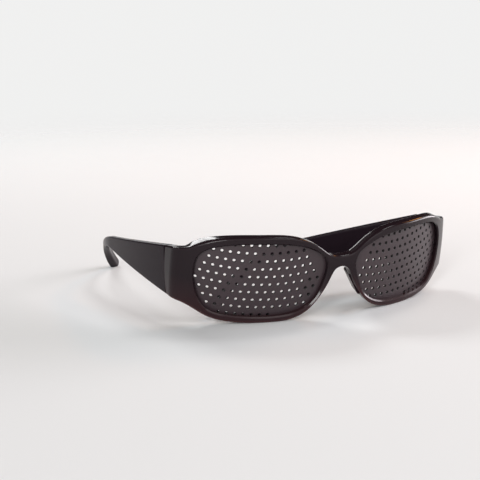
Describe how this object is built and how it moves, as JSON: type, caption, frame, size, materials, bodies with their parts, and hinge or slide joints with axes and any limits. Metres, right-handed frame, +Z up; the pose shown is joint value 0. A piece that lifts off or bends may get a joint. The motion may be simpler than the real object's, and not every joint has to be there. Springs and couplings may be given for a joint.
{
  "type": "pinhole glasses",
  "caption": "Wrap-around pinhole glasses: black plastic front with domed plates full of staggered pinholes and two wide folding temples, one open, one folded.",
  "frame": {"origin": "middle of the footprint, on the table that the rims and the tip of the open temple stand on", "axes": "+X to the right as one looks at the front, +Y from the front back along the open temple, +Z up"},
  "size_m": [0.142, 0.1456, 0.0391],
  "materials": {
    "frame_plastic": "glossy black injection moulded plastic",
    "plate_plastic": "satin black plastic sheet",
    "hinge_steel": "nickel plated steel"
  },
  "bodies": {
    "front": {"front_frame": "frame_plastic", "left_pinhole_plate": "plate_plastic", "right_pinhole_plate": "plate_plastic", "left_front_hinge": "hinge_steel", "right_front_hinge": "hinge_steel", "left_hinge_screw": "hinge_steel", "right_hinge_screw": "hinge_steel"},
    "left_arm": {"left_temple": "frame_plastic", "left_temple_hinge": "hinge_steel"},
    "right_arm": {"right_temple": "frame_plastic", "right_temple_hinge": "hinge_steel"}
  },
  "joints": [
    {"name": "left_temple_fold", "type": "hinge", "parent": "front", "child": "left_arm", "pos_m": [-0.06342, -0.0412, 0.02312], "axis": [0, -0.0166, -0.9999], "range_deg": [0, 75]},
    {"name": "right_temple_fold", "type": "hinge", "parent": "front", "child": "right_arm", "pos_m": [0.06419, -0.0412, 0.02312], "axis": [0, 0.0166, 0.9999], "range_deg": [-85.8, 2]}
  ]
}
